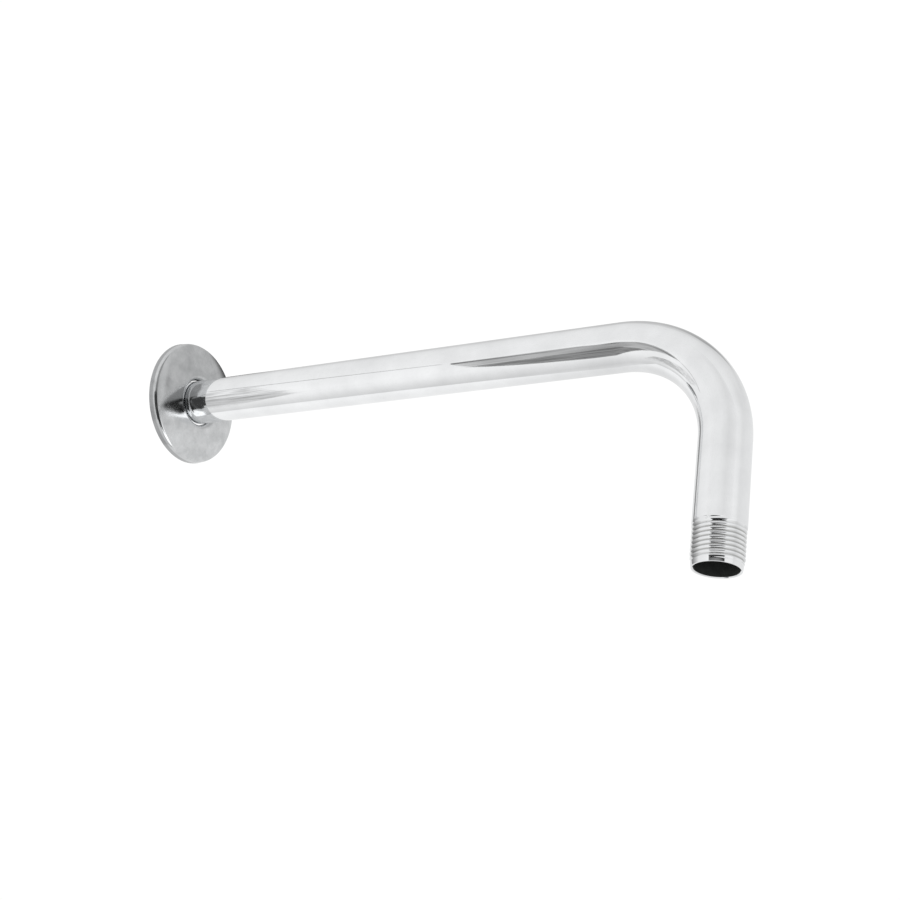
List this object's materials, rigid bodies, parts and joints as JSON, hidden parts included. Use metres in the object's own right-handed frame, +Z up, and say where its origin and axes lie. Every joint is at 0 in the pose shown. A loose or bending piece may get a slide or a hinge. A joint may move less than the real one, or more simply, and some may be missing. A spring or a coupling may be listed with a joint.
{
  "type": "shower arm",
  "caption": "Bent chrome shower arm: a wall-threaded tube with a right-angle drop to a threaded outlet, and a round domed wall flange that slides along it.",
  "frame": {"origin": "on the tube's axis in the plane of the finished wall, within the wall thread", "axes": "+X out of the wall along the arm, +Z up, the outlet looks along -Z"},
  "size_m": [0.3076, 0.06, 0.1315],
  "materials": {
    "tube_chrome": "polished chrome plate",
    "flange_chrome": "polished chrome plate"
  },
  "bodies": {
    "arm": {"arm_tube": "tube_chrome"},
    "flange": {"wall_flange": "flange_chrome"}
  },
  "joints": [
    {"name": "flange_slide", "type": "slide", "parent": "arm", "child": "flange", "axis": [1, 0, 0], "range_m": [0, 0.225]}
  ]
}
